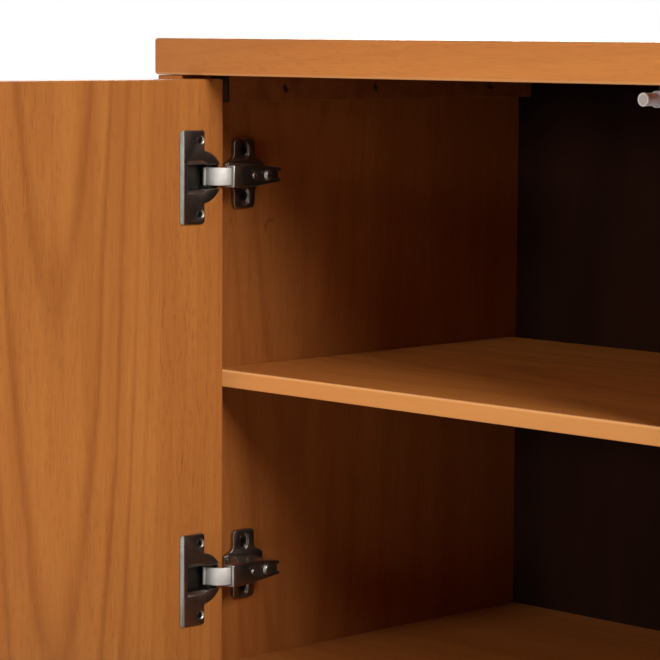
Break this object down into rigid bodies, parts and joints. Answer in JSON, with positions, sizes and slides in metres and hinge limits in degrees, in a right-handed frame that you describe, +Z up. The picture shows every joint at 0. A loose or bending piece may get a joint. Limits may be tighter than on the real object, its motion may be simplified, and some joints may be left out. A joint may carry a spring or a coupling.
{
  "type": "buffet cabinet",
  "caption": "Low wood buffet cabinet on turned legs, with flat inset doors open on concealed cup hinges, push latches and pinned shelves.",
  "frame": {"origin": "middle of the bounding box with both doors open, at floor level", "axes": "+X to the viewer's right along the cabinet's width, +Y into the cabinet towards its back, +Z up"},
  "size_m": [0.914, 0.7618, 0.71],
  "materials": {
    "veneer": "satin lacquered honey-brown veneer with upright grain",
    "cleat_wood": "sanded solid wood",
    "back_board": "thin veneered board",
    "black_nickel": "black nickel plating, polished",
    "bright_nickel": "bright nickel plating",
    "grey_plastic": "moulded grey plastic",
    "zinc_steel": "zinc plated steel"
  },
  "bodies": {
    "cabinet": {"top_panel": "veneer", "left_side_panel": "veneer", "right_side_panel": "veneer", "bottom_panel": "veneer", "back_panel": "back_board", "centre_divider": "veneer", "left_shelf": "veneer", "right_shelf": "veneer", "left_top_cleat": "cleat_wood", "right_top_cleat": "cleat_wood", "left_outer_front_shelf_pin": "zinc_steel", "left_outer_rear_shelf_pin": "zinc_steel", "left_inner_front_shelf_pin": "zinc_steel", "left_inner_rear_shelf_pin": "zinc_steel", "left_upper_hinge_arm": "black_nickel", "left_upper_hinge_plate": "black_nickel", "left_lower_hinge_arm": "black_nickel", "left_lower_hinge_plate": "black_nickel", "left_latch_housing": "grey_plastic", "front_left_leg": "veneer", "front_left_leg_plate": "zinc_steel", "rear_left_leg": "veneer", "rear_left_leg_plate": "zinc_steel", "right_outer_front_shelf_pin": "zinc_steel", "right_outer_rear_shelf_pin": "zinc_steel", "right_inner_front_shelf_pin": "zinc_steel", "right_inner_rear_shelf_pin": "zinc_steel", "right_upper_hinge_arm": "black_nickel", "right_upper_hinge_plate": "black_nickel", "right_lower_hinge_arm": "black_nickel", "right_lower_hinge_plate": "black_nickel", "right_latch_housing": "grey_plastic", "front_right_leg": "veneer", "front_right_leg_plate": "zinc_steel", "rear_right_leg": "veneer", "rear_right_leg_plate": "zinc_steel"},
    "left_door_leaf": {"left_door": "veneer", "left_upper_hinge_cup": "black_nickel", "left_lower_hinge_cup": "black_nickel", "left_latch_strike": "zinc_steel"},
    "left_upper_link": {"left_upper_hinge_link": "bright_nickel"},
    "left_lower_link": {"left_lower_hinge_link": "bright_nickel"},
    "right_door_leaf": {"right_door": "veneer", "right_upper_hinge_cup": "black_nickel", "right_lower_hinge_cup": "black_nickel", "right_latch_strike": "zinc_steel"},
    "right_upper_link": {"right_upper_hinge_link": "bright_nickel"},
    "right_lower_link": {"right_lower_hinge_link": "bright_nickel"},
    "left_plunger": {"left_latch_plunger": "grey_plastic"},
    "right_plunger": {"right_latch_plunger": "grey_plastic"}
  },
  "joints": [
    {"name": "left_door_hinge", "type": "hinge", "parent": "cabinet", "child": "left_door_leaf", "pos_m": [-0.4172, 0.03495, 0.4785], "axis": [0, 0, 1], "range_deg": [-3, 92]},
    {"name": "left_upper_link_pivot", "type": "hinge", "parent": "cabinet", "child": "left_upper_link", "pos_m": [-0.3995, 0.04886, 0.6165], "axis": [0, 0, 1], "range_deg": [-21.6, 0.8]},
    {"name": "left_lower_link_pivot", "type": "hinge", "parent": "cabinet", "child": "left_lower_link", "pos_m": [-0.3995, 0.04886, 0.3405], "axis": [0, 0, 1], "range_deg": [-21.6, 0.8]},
    {"name": "right_door_hinge", "type": "hinge", "parent": "cabinet", "child": "right_door_leaf", "pos_m": [0.4172, 0.03495, 0.4785], "axis": [0, 0, -1], "range_deg": [-3, 92]},
    {"name": "right_upper_link_pivot", "type": "hinge", "parent": "cabinet", "child": "right_upper_link", "pos_m": [0.3995, 0.04886, 0.6165], "axis": [0, 0, -1], "range_deg": [-21.6, 0.8]},
    {"name": "right_lower_link_pivot", "type": "hinge", "parent": "cabinet", "child": "right_lower_link", "pos_m": [0.3995, 0.04886, 0.3405], "axis": [0, 0, -1], "range_deg": [-21.6, 0.8]},
    {"name": "left_plunger_slide", "type": "slide", "parent": "cabinet", "child": "left_plunger", "axis": [0, 1, 0], "range_m": [0, 0.004], "stiffness_N_per_m": 200, "springref_m": -0.002},
    {"name": "right_plunger_slide", "type": "slide", "parent": "cabinet", "child": "right_plunger", "axis": [0, 1, 0], "range_m": [0, 0.004], "stiffness_N_per_m": 200, "springref_m": -0.002}
  ],
  "couplings": [
    {"joint": "left_upper_link_pivot", "follows": "left_door_hinge", "ratio": -0.23264},
    {"joint": "left_lower_link_pivot", "follows": "left_door_hinge", "ratio": -0.23264},
    {"joint": "right_upper_link_pivot", "follows": "right_door_hinge", "ratio": -0.23264},
    {"joint": "right_lower_link_pivot", "follows": "right_door_hinge", "ratio": -0.23264}
  ]
}
